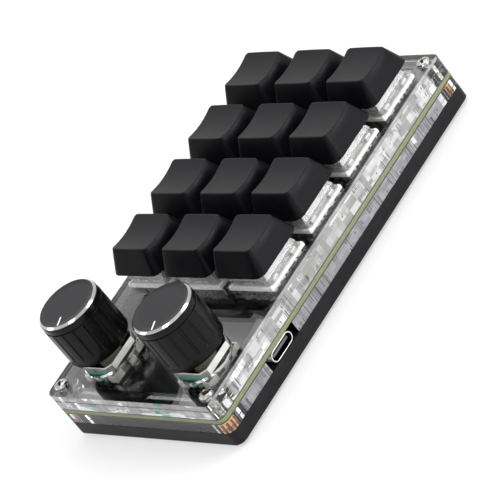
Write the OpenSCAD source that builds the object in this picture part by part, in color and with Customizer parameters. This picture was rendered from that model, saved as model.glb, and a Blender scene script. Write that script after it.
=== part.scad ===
// Macro keypad: twelve keys and two push knobs in a layered clear case. Millimetres, +Z up.
// Origin at the middle of the footprint, at the underside of the feet. Knobs are at -Y, the socket at +X.

/* [Case layers] */
// Width of the case across the keys
case_w = 61.6; // [60:0.1:70]
// Length of the case from the knob end to the far end
case_l = 117.2; // [115:0.1:130]
// Corner radius of every layer
corner_r = 2.5; // [1:0.1:6]
// Height of the rubber feet
foot_h = 1.2; // [0.5:0.1:4]
// Radius of one rubber foot
foot_r = 3.8; // [2:0.1:6]
// Thickness of the black base
base_t = 4.2; // [3.4:0.1:8]
// Height of the clear frame under the circuit board
lower_frame_t = 3.6; // [3.4:0.1:6]
// Thickness of the circuit board
board_t = 1.6; // [1.2:0.2:2]
// Height of the clear frame over the circuit board
upper_frame_t = 3; // [2.6:0.1:4]
// Thickness of the clear top plate
plate_t = 2; // [1.5:0.1:2.4]
// Gap between the outer switch housings and the clear frames
frame_key_gap = 0.375; // [0.2:0.025:1]
// Width of the clear frames along the short sides
frame_end_w = 4; // [2:0.1:8]

/* [Keys] */
// Distance from one key to the next
key_pitch = 19.05; // [18:0.05:20]
// Keys across the case
key_cols = 3; // [3:1:3]
// Keys along the case
key_rows = 4; // [4:1:4]
// Distance of the last row's middle from the far end of the case
last_row_inset = 15.65; // [14:0.05:18]
// Height of a cap's lower rim over the plate
cap_lift = 5.75; // [5.5:0.05:6.5]
// Height of a cap at the high edges of its dish
cap_h = 7.15; // [7:0.05:9]
// Width of a cap at its lower rim
cap_foot_w = 18.1; // [17:0.05:18.4]
// Width of a cap's top, across the case
cap_top_x = 13; // [11:0.1:14]
// Width of a cap's top, along the case
cap_top_y = 12; // [11:0.1:14]
// Shift of a cap's top towards +X
cap_top_shift = 0.8; // [0:0.1:1.5]
// Corner radius of a cap's lower rim
cap_foot_r = 2.8; // [1:0.1:3]
// Corner radius of a cap's top
cap_top_r = 1; // [0.6:0.1:3]
// Depth of the dish in a cap's top
cap_dish = 0.85; // [0.2:0.05:1]
// Wall of a cap at its lower rim
cap_wall = 1.15; // [0.9:0.05:1.3]
// Height of the hollow in a cap
cap_hollow_h = 5.35; // [5.3:0.05:6]
// Corner radius of the hollow in a cap
cap_hollow_r = 1.6; // [1:0.1:1.8]
// Radius of the socket boss in a cap
cap_boss_r = 2.7; // [2.5:0.05:2.8]

/* [Switches] */
// How far a key travels
key_travel = 4; // [3:0.1:4]
// Width of a lower housing under the flange
housing_w = 13.95; // [13.8:0.01:14]
// Width of the plate's square cut-outs
cutout_w = 14; // [14:0.01:14.1]
// Width of a housing's flange
flange_w = 15.6; // [15:0.1:16]
// Thickness of a housing's flange
flange_t = 1; // [0.8:0.1:1.2]
// Height of the housings over the plate
housing_rise = 6.6; // [6.2:0.1:6.6]
// Width of an upper housing where it starts to taper
cover_w = 14.2; // [13.8:0.1:14.4]
// Width of an upper housing at its top
cover_top_w = 10.4; // [10:0.1:10.6]
// Width of the stem's opening, across the case
stem_open_x = 7.6; // [7.4:0.1:8]
// Width of the stem's opening, along the case
stem_open_y = 6; // [5.8:0.1:6.2]
// Gap around the stem in its opening
stem_gap = 0.2; // [0.1:0.05:0.3]
// Height of the cross over the housing
cross_h = 3.6; // [3.2:0.1:4]
// Length of the cross's arms
cross_w = 4.1; // [4:0.05:4.2]
// Thickness of the cross's arms
cross_t = 1.25; // [1.1:0.05:1.4]
// Gap on each side of the cross in its socket
cross_gap = 0.02; // [0:0.01:0.05]
// Radius of the stem's guide pole
pole_r = 1.4; // [1.2:0.05:1.5]
// Radial clearance of the guide pole
pole_gap = 0.05; // [0.02:0.01:0.1]
// Height of the stem's block over the housing's floor side
stem_block_h = 3; // [2.8:0.1:3.2]
// Length of the stem's guide rails under its block
stem_rail_h = 3; // [2:0.1:3.2]
// Radius of the housing's centre post
post_r = 1.95; // [1.9:0.01:2]
// Wire thickness of a spring
spring_wire = 0.36; // [0.3:0.02:0.5]
// Radius of a spring to the middle of its wire
spring_r = 2.3; // [2.25:0.05:2.5]
// Turns of a spring
spring_turns = 5; // [4:1:8]

/* [Knobs] */
// Distance between the two knobs
knob_spacing = 35.3; // [34:0.1:38]
// Distance of the knobs' middle from the near end of the case
knob_inset = 14.8; // [14:0.1:18]
// Radius of a knob's skirt
knob_r = 8.85; // [8:0.05:10]
// Radius of a knob's upper band
knob_band_r = 8.7; // [8:0.05:9.5]
// Height of a knob
knob_h = 15.25; // [12:0.05:18]
// Gap between the plate and a knob
knob_lift = 3.9; // [3:0.1:6]
// Width and height of the bright bevel
knob_bevel = 0.7; // [0.4:0.05:1.2]
// Height of the smooth band under a knob's top
knob_band_h = 2.5; // [2:0.1:5]
// Radius of a knob's rounded lower edge
knob_foot_r = 1.2; // [0.4:0.1:2]
// Flutes around a knob
knob_flutes = 18; // [12:1:36]
// Radius of one flute
flute_r = 0.34; // [0.3:0.02:0.7]
// Depth of one flute
flute_d = 0.3; // [0.1:0.05:0.3]
// Height of the smooth stretch under the flutes
flute_foot_h = 3.2; // [2:0.1:5]
// Direction of the indicator line, in degrees
mark_angle = -72; // [-180:1:180]
// Length of the indicator line
mark_len = 3; // [2:0.1:5]
// Width of the indicator line
mark_w = 0.5; // [0.3:0.05:1]
// Depth of the indicator line
mark_d = 0.15; // [0.1:0.05:0.3]
// How far a knob pushes in
knob_push = 0.5; // [0.3:0.1:0.8]

/* [Encoders] */
// Width of an encoder, across the case
enc_x = 11.7; // [11:0.1:12.5]
// Width of an encoder, along the case
enc_y = 12.4; // [11:0.1:13]
// Height of an encoder over the board
enc_h = 6.7; // [6.4:0.1:7.4]
// Height of an encoder's square foot under the plate
enc_foot_h = 2.6; // [2:0.1:2.8]
// Cut at the corners of an encoder over its foot
enc_cut = 1.6; // [1.4:0.1:2.4]
// Height of the metal cover's side walls
enc_wall_h = 2; // [1.4:0.1:2.4]
// Sheet thickness of the metal cover
enc_sheet = 0.4; // [0.3:0.05:0.6]
// Width of the cover's legs
enc_leg_w = 1.2; // [0.8:0.1:2]
// Width of the cover's corner claws
enc_claw_w = 2.6; // [1.5:0.1:3.5]
// Height of the cover's corner claws
enc_claw_h = 2; // [1:0.1:2.4]
// Width of the cover's lugs, which go through the board
enc_lug_w = 2.4; // [1.5:0.1:3]
// Shift of the lugs along the case
enc_lug_y = 0.8; // [0:0.1:1.5]
// Distance of the solder pins from the shaft
enc_pin_y = 7.5; // [7:0.1:8]
// Distance from one solder pin to the next
enc_pin_pitch = 2.5; // [2.5:0.1:2.6]
// Radius of the round openings in the plate
enc_hole_r = 7.7; // [7.6:0.05:8.2]
// Radius of the threaded bush
bush_r = 3.5; // [3.4:0.1:4.5]
// Height of the threaded bush over the cover
bush_h = 5; // [4:0.1:6]
// Radius of the shaft
shaft_r = 3; // [2.8:0.05:3]
// Radial clearance of the shaft and of the push pin
shaft_gap = 0.05; // [0.02:0.01:0.1]
// Top of the shaft under the knob's top face
shaft_cover = 3; // [2:0.1:6]

/* [Fixings and socket] */
// Distance of the screws from the long sides
screw_inset_x = 3.6; // [3.4:0.1:4.4]
// Distance of the screws from the ends
screw_inset_y = 3.5; // [3.4:0.1:4.4]
// Radius of a screw's head
screw_head_r = 1.95; // [1.6:0.05:2.3]
// Height of a screw's head
screw_head_h = 1.3; // [0.8:0.1:1.6]
// Radius of a screw's shank
screw_r = 0.95; // [0.8:0.05:1.2]
// Radial clearance of the screw holes
screw_gap = 0.2; // [0.1:0.05:0.4]
// Radius of a brass spacer
spacer_r = 2.25; // [1.9:0.05:2.4]
// How deep a brass spacer sits in the base
spacer_sink = 2.2; // [1:0.1:2.6]
// Distance of the USB-C socket's middle from the first row of keys
usb_gap = 18.2; // [15:0.1:22]
// Width of the USB-C shell
usb_w = 8.94; // [8.9:0.01:9]
// Height of the USB-C shell
usb_h = 3.26; // [3.2:0.01:3.3]
// Length of the USB-C shell
usb_l = 7.35; // [7:0.05:9]
// Sheet thickness of the USB-C shell
usb_sheet = 0.3; // [0.25:0.05:0.35]
// Width of the gap in the lower frame for the socket
usb_notch_w = 13; // [11:0.1:15]

/* [Board parts] */
// Width of the controller chip
chip_w = 7; // [5:0.5:10]
// Height of the controller chip
chip_h = 0.9; // [0.6:0.1:1.4]
// Length of the crystal
crystal_l = 3.2; // [2:0.1:5]
// Length of a diode
diode_l = 2.7; // [2:0.1:3.6]
// Width of a diode
diode_w = 1.6; // [1:0.1:2]
// Height of a diode
diode_h = 1.1; // [0.8:0.1:1.4]
// Height of the switch sockets under the board
swap_h = 1.8; // [1.6:0.1:2]
// Width of a switch socket's arms
swap_arm_w = 3.3; // [3:0.1:3.6]
// Length of a switch socket along the case
swap_l = 10.2; // [9.5:0.1:11]
// Length of a switch socket across the case
swap_w = 5.6; // [5:0.1:6]
// Thickness of a contact leaf
leaf_t = 0.3; // [0.2:0.05:0.4]
// Width and height of a contact leaf
leaf_w = 4; // [3:0.1:4.2]
// Length of a light's lens
light_l = 3.3; // [2.5:0.1:3.3]
// Width of a light's lens
light_w = 2.9; // [2:0.1:2.9]

/* [Hidden] */
$fn = 40;
base_z = foot_h;
lower_z = base_z + base_t;
board_z = lower_z + lower_frame_t;
upper_z = board_z + board_t;
plate_z = upper_z + upper_frame_t;
top_z = plate_z + plate_t;
flange_z = top_z + flange_t;
cover_top_z = top_z + housing_rise;
cap_z = top_z + cap_lift;
cap_ceiling_z = cap_z + cap_hollow_h;
knob_z = top_z + knob_lift;
enc_top_z = upper_z + enc_h;
enc_cover_z = enc_top_z - enc_wall_h;
enc_body_x = enc_x - 2 * enc_sheet - 0.1;
bush_top_z = enc_top_z + bush_h;
usb_z = board_z - usb_h / 2;
usb_y = key_y(1) - usb_gap;
knob_y = knob_inset - case_l / 2;
keys_w = (key_cols - 1) * key_pitch + housing_w;
frame_side_w = (case_w - keys_w) / 2 - frame_key_gap;
stem_top_z = cover_top_z + cross_h;
stem_block_z = cover_top_z - 0.1 - stem_block_h;
stem_foot_z = stem_block_z - stem_rail_h;
floor_t = 1;
floor_z = upper_z + floor_t;
pin_a = [2.54, 3.81];
pin_b = [5.08, -2.54];
peg_y = 5.08;
pin_r = 0.6;
slack = 0.05;
eps = 0.01;
cross_z = cap_z + 0.95;
rotor_z = enc_top_z - enc_sheet - slack - 1;
shaft_foot_z = upper_z + 3.6;
shaft_top_z = knob_z + knob_h - shaft_cover;

function key_x(c) = (c - (key_cols + 1) / 2) * key_pitch;
function key_y(r) = case_l / 2 - last_row_inset - (key_rows - r) * key_pitch;
function knob_x(side) = side * knob_spacing / 2;

// Points along an arc, in a plane
function arc(x, y, r, from, to, steps) =
  [for (i = [0:steps])
    let (a = from + (to - from) * i / steps) [x + r * cos(a), y + r * sin(a)]];

// Centred block that stands on z
module block(x, y, z, h) {
  translate([-x / 2, -y / 2, z]) cube([x, y, h]);
}

// Centred block with round corners that stands on z
module slab(x, y, r, z, h) {
  block(x - 2 * r, y, z, h);
  block(x, y - 2 * r, z, h);
  for (sx = [-1, 1], sy = [-1, 1])
    translate([sx * (x / 2 - r), sy * (y / 2 - r), z]) cylinder(h = h, r = r);
}

module rod(r, z, h) {
  translate([0, 0, z]) cylinder(h = h, r = r);
}

module at_keys() {
  for (r = [1:key_rows], c = [1:key_cols])
    translate([key_x(c), key_y(r), 0]) children();
}

module at_screws() {
  for (sx = [-1, 1], sy = [-1, 1])
    translate([sx * (case_w / 2 - screw_inset_x), sy * (case_l / 2 - screw_inset_y), 0]) children();
}

module at_encoders() {
  for (side = [-1, 1])
    translate([knob_x(side), knob_y, 0]) children();
}

// Solder pins of one encoder: three at its near side, two at its far side
module at_encoder_pins() {
  for (i = [-1:1]) translate([i * enc_pin_pitch, -enc_pin_y, 0]) children();
  for (i = [-1, 1]) translate([i * enc_pin_pitch, enc_pin_y - 0.5, 0]) children();
}

// Rubber feet
module rubber_feet() {
  color([0.05, 0.05, 0.05])
    for (sx = [-1, 1], sy = [-1, 1])
      translate([sx * (case_w / 2 - 7), sy * (case_l / 2 - 7.5), 0]) {
        cylinder(h = 0.3, r1 = foot_r - 0.3, r2 = foot_r);
        rod(foot_r, 0.3, foot_h - 0.3);
      }
}

// Black base with blind sockets for the spacers
module base_plate() {
  color([0.1, 0.1, 0.1])
    difference() {
      slab(case_w, case_l, corner_r, base_z, base_t);
      at_screws() rod(spacer_r + slack, lower_z - spacer_sink, spacer_sink + 1);
    }
}

// One clear frame with round bosses at its screws
module frame_ring(z, h, hole_r) {
  difference() {
    slab(case_w, case_l, corner_r, z, h);
    difference() {
      block(case_w - 2 * frame_side_w, case_l - 2 * frame_end_w, z - 1, h + 2);
      at_screws() rod(spacer_r + 1.9, z - 2, h + 4);
    }
    at_screws() rod(hole_r, z - 1, h + 2);
  }
}

// Clear frame under the board, open at the USB-C socket
module lower_frame() {
  color([0.9, 0.92, 0.93, 0.4])
    difference() {
      frame_ring(lower_z, lower_frame_t, spacer_r + slack);
      translate([case_w / 2 - frame_side_w - 1, usb_y - usb_notch_w / 2, lower_z - 1])
        cube([frame_side_w + 2, usb_notch_w, lower_frame_t + 2]);
    }
}

// Circuit board with the holes of switches, lights, encoders and screws
module circuit_board() {
  color([0.55, 0.6, 0.4])
    difference() {
      slab(case_w, case_l, corner_r, board_z, board_t);
      at_screws() rod(screw_r + screw_gap, board_z - 1, board_t + 2);
      at_keys() {
        rod(post_r + slack, board_z - 1, board_t + 2);
        for (s = [-1, 1]) translate([0, s * peg_y, 0]) rod(0.9, board_z - 1, board_t + 2);
        translate(pin_a) rod(1.5, board_z - 1, board_t + 2);
        translate(pin_b) rod(1.5, board_z - 1, board_t + 2);
        translate([-peg_y, 0, 0]) block(3, 3.4, board_z - 1, board_t + 2);
      }
      at_encoders() {
        for (s = [-1, 1])
          translate([s * (enc_x - enc_sheet) / 2, enc_lug_y, 0])
            block(enc_sheet + 0.6, enc_lug_w + 0.6, board_z - 1, board_t + 2);
        at_encoder_pins() rod(0.6, board_z - 1, board_t + 2);
      }
    }
}

// Clear frame over the board
module upper_frame() {
  color([0.9, 0.92, 0.93, 0.4])
    frame_ring(upper_z, upper_frame_t, screw_r + screw_gap);
}

// Clear top plate with square switch cut-outs and two round encoder openings
module top_plate() {
  color([0.88, 0.9, 0.92, 0.4])
    difference() {
      slab(case_w, case_l, corner_r, plate_z, plate_t);
      at_screws() rod(screw_r + screw_gap, plate_z - 1, plate_t + 2);
      at_keys() block(cutout_w, cutout_w, plate_z - 1, plate_t + 2);
      at_encoders() rod(enc_hole_r, plate_z - 1, plate_t + 2);
    }
}

// Brass threaded spacers, pressed into the base
module spacers() {
  color([0.75, 0.5, 0.25])
    at_screws()
      difference() {
        rod(spacer_r, lower_z - spacer_sink, spacer_sink + lower_frame_t);
        rod(screw_r + slack, lower_z - spacer_sink + 0.6, spacer_sink + lower_frame_t);
      }
}

// Pan-head screws with a cross recess
module case_screws() {
  color([0.75, 0.75, 0.74])
    at_screws()
      difference() {
        union() {
          rod(screw_r, lower_z + 0.4, top_z - lower_z - 0.4 + eps);
          rod(screw_head_r, top_z, screw_head_h * 0.55);
          translate([0, 0, top_z + screw_head_h * 0.55])
            cylinder(h = screw_head_h * 0.45, r1 = screw_head_r, r2 = screw_head_r * 0.72);
        }
        for (a = [45, 135]) rotate([0, 0, a]) block(2.3, 0.5, top_z + 0.45, 2);
      }
}

// Long hole shape along X: two round sides and the middle between them
module oblong(w, h, x, l) {
  translate([x, 0, 0]) rotate([0, 90, 0]) {
    for (s = [-1, 1]) translate([0, s * (w - h) / 2, 0]) cylinder(h = l, r = h / 2);
    translate([-h / 2, -(w - h) / 2, 0]) cube([h, w - h, l]);
  }
}

// Metal shell of the USB-C socket, its mouth flush with the case
module usb_shell() {
  color([0.75, 0.75, 0.76])
    translate([0, usb_y, usb_z])
      difference() {
        oblong(usb_w, usb_h, case_w / 2 - usb_l, usb_l);
        oblong(usb_w - 2 * usb_sheet, usb_h - 2 * usb_sheet, case_w / 2 - usb_l + 0.5, usb_l);
      }
}

// Tongue of the USB-C socket and the block that holds it
module usb_tongue() {
  color([0.15, 0.15, 0.15])
    translate([0, usb_y, usb_z]) {
      oblong(usb_w - 2 * usb_sheet - 0.02, usb_h - 2 * usb_sheet - 0.02,
             case_w / 2 - usb_l + 0.5, 1.4);
      translate([case_w / 2 - usb_l + 1.6, -3.35, -0.35]) cube([usb_l - 2.3, 6.7, 0.7]);
    }
}

// Controller chip, its crystal and one diode beside each switch, under the board
module board_parts() {
  color([0.08, 0.08, 0.08]) {
    translate([2, usb_y, 0]) block(chip_w, chip_w, board_z - chip_h, chip_h);
    translate([11, usb_y, 0]) block(crystal_l, 0.8 * crystal_l, board_z - chip_h, chip_h);
    translate([17, usb_y, 0]) block(diode_w, diode_l, board_z - diode_h, diode_h);
    at_keys() translate([-3.4, -6.4, 0]) block(diode_l, diode_w, board_z - diode_h, diode_h);
  }
}

// Small lights set into the board under the switches
module key_lights() {
  color([0.95, 0.94, 0.88])
    at_keys() translate([-peg_y, 0, 0]) {
      block(light_w, light_l, board_z + 0.1, board_t - 0.2);
      block(light_w - 0.9, light_l + 1.7, board_z - 0.3, 0.3);
      block(light_w - 0.9, light_l - 0.1, board_z - 0.3, 0.4 + eps);
    }
}

// Sockets under the board that hold the switch pins
module hot_swap_sockets() {
  color([0.06, 0.06, 0.06])
    at_keys()
      difference() {
        union() {
          translate([pin_a[0] - 1.34, pin_b[1] - 1.96, board_z - swap_h]) {
            translate([0, swap_l - swap_arm_w, 0]) cube([swap_w, swap_arm_w, swap_h]);
            translate([swap_w - swap_arm_w, 0, 0]) cube([swap_arm_w, swap_l, swap_h]);
          }
        }
        translate(pin_a) rod(pin_r + slack, board_z - swap_h - 1, swap_h + 2);
        translate(pin_b) rod(pin_r + slack, board_z - swap_h - 1, swap_h + 2);
      }
}

// Contact leaves inside the switches, with their pins
module switch_contacts() {
  color([0.8, 0.6, 0.35])
    at_keys() {
      translate(pin_a) rod(pin_r, board_z - 1.4, floor_z - board_z + 1.8);
      translate(pin_b) rod(pin_r, board_z - 1.4, floor_z - board_z + 1.8);
      translate([pin_a[0], pin_a[1], 0]) block(leaf_w, leaf_t, floor_z, leaf_w);
      translate([pin_b[0], pin_b[1], 0]) block(leaf_t, leaf_w, floor_z, leaf_w);
    }
}

// Lower housings: box, flange, guide tube, post and pegs
module switch_bases() {
  color([0.93, 0.94, 0.92, 0.7])
    at_keys()
      difference() {
        union() {
          difference() {
            union() {
              block(housing_w, housing_w, upper_z, top_z - upper_z + eps);
              block(flange_w, flange_w, top_z, flange_t);
            }
            block(12, 12, floor_z, 10);
          }
          rod(1.9, floor_z - eps, 2.4);
          rod(post_r, upper_z - 3, 3 + eps);
          for (s = [-1, 1]) translate([0, s * peg_y, 0]) rod(0.85, upper_z - 2.2, 2.2 + eps);
        }
        rod(pole_r + pole_gap, upper_z - 2.2, 6);
        translate(pin_a) rod(pin_r + slack, upper_z - 1, floor_t + 2);
        translate(pin_b) rod(pin_r + slack, upper_z - 1, floor_t + 2);
      }
}

// Square block that narrows towards its top
module tapered(w0, w1, z, h) {
  translate([0, 0, z]) linear_extrude(height = h, scale = w1 / w0) square(w0, center = true);
}

// Upper housings: hollow, narrowing upwards, with the stem's opening
module switch_covers() {
  color([0.94, 0.95, 0.94, 0.6])
    at_keys()
      difference() {
        union() {
          slab(cover_w, cover_w, 1, flange_z, 1.6);
          tapered(cover_w - 0.4, cover_top_w, flange_z + 1.6 - eps, cover_top_z - flange_z - 1.6 + eps);
          for (sx = [-1, 1], sy = [-1, 1])
            translate([sx * (cover_w / 2 - 0.1), sy * 4.4, 0]) block(1.1, 2.4, flange_z, 0.9);
        }
        tapered(12.4, 9.5, flange_z - eps, cover_top_z - 1 - flange_z + eps);
        block(stem_open_x, stem_open_y, cover_top_z - 2, 3);
      }
}

// Block with cut corners that stands on z
module cut_block(x, y, cut, z, h) {
  translate([0, 0, z])
    linear_extrude(height = h)
      polygon([
        [x / 2 - cut, y / 2], [cut - x / 2, y / 2], [-x / 2, y / 2 - cut], [-x / 2, cut - y / 2],
        [cut - x / 2, -y / 2], [x / 2 - cut, -y / 2], [x / 2, cut - y / 2], [x / 2, y / 2 - cut]
      ]);
}

// Solder pins of one encoder: flat leads out of its foot, then down through the board
module solder_pins() {
  lead_z = upper_z + 0.6;
  lead_l = enc_pin_y - enc_y / 2 + 0.4;
  at_encoder_pins() rod(0.45, board_z - 1.2, lead_z - board_z + 1.2 + eps);
  for (i = [-1:1])
    translate([i * enc_pin_pitch, (0.2 - enc_y / 2) - lead_l / 2, 0]) block(0.8, lead_l, lead_z, 0.5);
  for (i = [-1, 1])
    translate([i * enc_pin_pitch, (enc_y + lead_l) / 2 - 0.45, 0])
      block(0.8, lead_l - 0.5, lead_z, 0.5);
}

// Encoder bases: a square foot with its pins, a body with cut corners, rotor space and pin bore
module encoder_bases() {
  color([0.1, 0.5, 0.4])
    at_encoders()
      difference() {
        union() {
          block(enc_body_x, enc_y, upper_z, enc_foot_h);
          solder_pins();
          cut_block(enc_body_x - 2 * eps, enc_y - 2 * eps, enc_cut - enc_sheet, upper_z + 1,
                    enc_h - enc_sheet - slack - 1);
        }
        rod(5, upper_z + 2.6, enc_h);
        rod(2.2 + shaft_gap, upper_z + 1, enc_h);
      }
}

// Encoder covers: top sheet, side walls, legs with corner claws, board lugs and threaded bush
module encoder_covers() {
  claw_z = upper_z + 0.5;
  color([0.8, 0.8, 0.8])
    at_encoders()
      difference() {
        union() {
          cut_block(enc_x, enc_y, enc_cut, enc_top_z - enc_sheet, enc_sheet);
          for (s = [-1, 1])
            translate([s * ((enc_x - enc_sheet) / 2 - eps), 0, 0]) {
              block(enc_sheet, enc_y - 2 * enc_cut - 2 * eps, enc_cover_z, enc_wall_h - eps);
              translate([0, enc_lug_y, 0])
                block(enc_sheet, enc_lug_w, board_z - 0.6, enc_cover_z - board_z + 0.6 + eps);
              for (t = [-1, 1]) {
                translate([0, t * (enc_y / 2 - enc_cut - enc_leg_w / 2), 0])
                  block(enc_sheet, enc_leg_w, claw_z, enc_cover_z - claw_z + eps);
                translate([0, t * (enc_y / 2 - enc_claw_w / 2 + slack + enc_sheet), 0])
                  block(enc_sheet, enc_claw_w, claw_z, enc_claw_h);
                translate([s * (enc_sheet - enc_claw_w) / 2, t * (enc_y / 2 + slack + enc_sheet / 2), 0])
                  block(enc_claw_w, enc_sheet, claw_z, enc_claw_h);
              }
            }
          rod(bush_r, enc_top_z - eps, bush_h + eps);
        }
        rod(shaft_r + shaft_gap, enc_cover_z, bush_h + 4);
        for (i = [0:4]) translate([0, 0, enc_top_z + 0.7 + i * 0.8])
          difference() {
            cylinder(h = 0.3, r = bush_r + 1);
            translate([0, 0, -1]) cylinder(h = 3, r = bush_r - 0.2);
          }
      }
}

// Push pin under a shaft
module push_pin(side) {
  color([0.9, 0.9, 0.88])
    translate([knob_x(side), knob_y, 0]) rod(2.2, upper_z + 1.6, shaft_foot_z - upper_z - 1.6);
}

// Encoder shaft with its rotor and a flat at its upper end
module shaft(side) {
  color([0.7, 0.7, 0.7])
    translate([knob_x(side), knob_y, 0])
      difference() {
        union() {
          rod(shaft_r, shaft_foot_z, shaft_top_z - shaft_foot_z);
          rod(4.8, rotor_z, 1);
        }
        translate([-5, shaft_r - 1.5, bush_top_z + 0.6]) cube([10, 5, shaft_top_z]);
      }
}

// Knob: turned body with a bright bevel, a stepped band, flutes and a hollow underside
module knob(side) {
  flute_h = knob_h - knob_band_h - 0.3 - flute_foot_h;
  color([0.07, 0.07, 0.07])
    translate([knob_x(side), knob_y, knob_z])
      difference() {
        rotate_extrude()
          polygon(concat(
            [[0, 0.2], [knob_r - knob_foot_r - 0.3, 0.2]],
            arc(knob_r - knob_foot_r, knob_foot_r, knob_foot_r, -90, 0, 6),
            [
              [knob_r, knob_h - knob_band_h - knob_r + knob_band_r],
              [knob_band_r, knob_h - knob_band_h],
              [knob_band_r, knob_h - knob_bevel],
              [knob_band_r - knob_bevel, knob_h],
              [0, knob_h]
            ]));
        for (i = [0:knob_flutes - 1])
          rotate([0, 0, (i + 0.5) * 360 / knob_flutes])
            translate([knob_r + flute_r - flute_d, 0, flute_foot_h]) {
              cylinder(h = flute_r, r1 = 0.02, r2 = flute_r, $fn = 12);
              translate([0, 0, flute_r]) cylinder(h = flute_h - flute_r, r = flute_r, $fn = 12);
            }
        rotate([0, 0, mark_angle])
          translate([knob_band_r - knob_bevel - 0.35 - mark_len, -mark_w / 2, knob_h - mark_d])
            cube([mark_len, mark_w, 1]);
        rod(5.6, -1, bush_top_z - knob_z + 1.9);
        difference() {
          rod(shaft_r + slack, -1, shaft_top_z - knob_z + 1);
          translate([-5, shaft_r - 1.5 + slack, -2]) cube([10, 5, knob_h * 2]);
        }
      }
}

// Round-cornered square face, thin, for the caps
module cap_face(x0, x1, y, r, z) {
  translate([0, 0, z])
    linear_extrude(height = eps)
      hull()
        for (x = [x0 + r, x1 - r], s = [-1, 1])
          translate([x, s * (y / 2 - r)]) circle(r = r, $fn = 20);
}

// Keycap: tapered, dished along Y, hollow, with a cross socket
module keycap(r, c) {
  over = 0.8;
  k = (cap_h + over) / cap_h;
  x0 = -cap_foot_w / 2 + k * (cap_foot_w / 2 - cap_top_x / 2 + cap_top_shift);
  x1 = cap_foot_w / 2 + k * (cap_top_x / 2 + cap_top_shift - cap_foot_w / 2);
  y1 = cap_foot_w + k * (cap_top_y - cap_foot_w);
  kh = cap_hollow_h / cap_h;
  h0 = -cap_foot_w / 2 + kh * (cap_foot_w / 2 - cap_top_x / 2 + cap_top_shift) + cap_wall;
  h1 = cap_foot_w / 2 + kh * (cap_top_x / 2 + cap_top_shift - cap_foot_w / 2) - cap_wall;
  hy = cap_foot_w + kh * (cap_top_y - cap_foot_w) - 2 * cap_wall;
  dish_r = (pow(cap_top_y / 2, 2) + pow(cap_dish, 2)) / (2 * cap_dish);
  color([0.09, 0.09, 0.1])
    translate([key_x(c), key_y(r), 0]) {
      difference() {
        hull() {
          cap_face(-cap_foot_w / 2, cap_foot_w / 2, cap_foot_w, cap_foot_r, cap_z);
          cap_face(x0, x1, y1, cap_top_r, cap_z + cap_h + over - eps);
        }
        translate([-20, 0, cap_z + cap_h - cap_dish + dish_r])
          rotate([0, 90, 0]) cylinder(h = 40, r = dish_r, $fn = 60);
        hull() {
          cap_face(-cap_foot_w / 2 + cap_wall, cap_foot_w / 2 - cap_wall,
                   cap_foot_w - 2 * cap_wall, cap_hollow_r, cap_z - eps);
          cap_face(h0, h1, hy, cap_hollow_r, cap_ceiling_z - eps);
        }
      }
      difference() {
        rod(cap_boss_r, cross_z, cap_ceiling_z - cross_z + eps);
        block(cross_w + 2 * cross_gap, cross_t + 2 * cross_gap, cross_z - 1, stem_top_z - cross_z + 1);
        block(cross_t + 2 * cross_gap, cross_w + 2 * cross_gap, cross_z - 1, stem_top_z - cross_z + 1);
      }
    }
}

// Stem: cross, shoulders, two guide rails and the pole that slides in the housing
module stem(r, c) {
  color([0.85, 0.85, 0.82])
    translate([key_x(c), key_y(r), 0]) {
      block(cross_w, cross_t, stem_block_z, stem_top_z - stem_block_z);
      block(cross_t, cross_w, stem_block_z, stem_top_z - stem_block_z);
      block(stem_open_x - 2 * stem_gap, stem_open_y - 2 * stem_gap, stem_block_z,
            cover_top_z - 0.1 - stem_block_z);
      for (s = [-1, 1]) translate([s * 3.2, 0, 0]) {
        block(0.8, stem_open_y - 2 * stem_gap, stem_foot_z, stem_block_z - stem_foot_z + eps);
        translate([s * 0.8, 0, 0]) block(0.9, 3, cover_top_z - 2.6, 1.6 - slack);
      }
      rod(pole_r, upper_z + 2, stem_block_z - upper_z - 2 + eps);
    }
}

// Spring: one wound wire between the housing's floor and the stem
module spring(r, c) {
  w = spring_wire / 2;
  rise = stem_block_z - floor_z - 2 * w;
  rings = 8;
  sides = 6;
  steps = spring_turns * rings;
  points = [for (i = [0:steps], j = [0:sides - 1])
    let (a = 360 * i / rings, b = 360 * (j + 0.5) / sides, d = spring_r + w * cos(b))
      [d * cos(a), d * sin(a), w + rise * i / steps + w * sin(b)]];
  walls = [for (i = [0:steps - 1], j = [0:sides - 1])
    let (p = i * sides + j, q = i * sides + (j + 1) % sides)
      each [[p, q, p + sides], [q, q + sides, p + sides]]];
  tail = steps * sides;
  ends = [
    for (j = [1:sides - 2]) [0, j + 1, j],
    for (j = [1:sides - 2]) [tail, tail + j, tail + j + 1]
  ];
  gap = min([for (i = [0:rings - 1], j = [0:sides - 1], k = [0:sides - 1], n = [-1:1])
    norm(points[i * sides + j] - points[(i + rings + n) * sides + k])]);
  echo(least_gap_between_curls = gap);
  color([0.6, 0.6, 0.6])
    translate([key_x(c), key_y(r), floor_z])
      polyhedron(points = points, faces = concat(walls, ends));
}

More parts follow.
